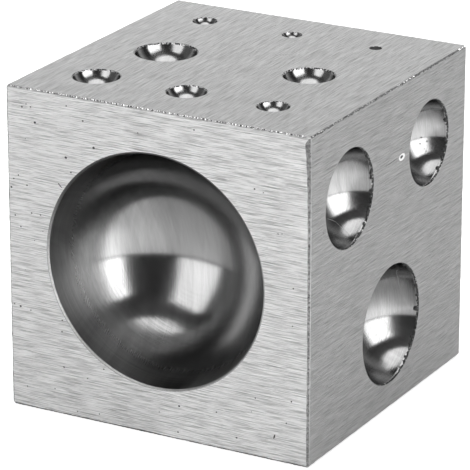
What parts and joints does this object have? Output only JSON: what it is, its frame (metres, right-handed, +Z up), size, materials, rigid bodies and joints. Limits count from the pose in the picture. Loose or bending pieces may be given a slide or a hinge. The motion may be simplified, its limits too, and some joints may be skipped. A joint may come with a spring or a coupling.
{
  "type": "dapping block",
  "caption": "Solid steel cube with ground faces, bevelled edges and polished round cups of falling size, for doming sheet metal discs with ball punches.",
  "frame": {"origin": "the middle of the bottom face, on the plane that the block rests on", "axes": "+Z up; -Y out of the face with the one large cup; +X out of the face with three cups"},
  "size_m": [0.06, 0.06, 0.06],
  "materials": {
    "steel": "ground faces with a fine one-way grain, polished cups, small bevels with a rough burr"
  },
  "bodies": {
    "root": {"block": "steel"}
  },
  "joints": []
}
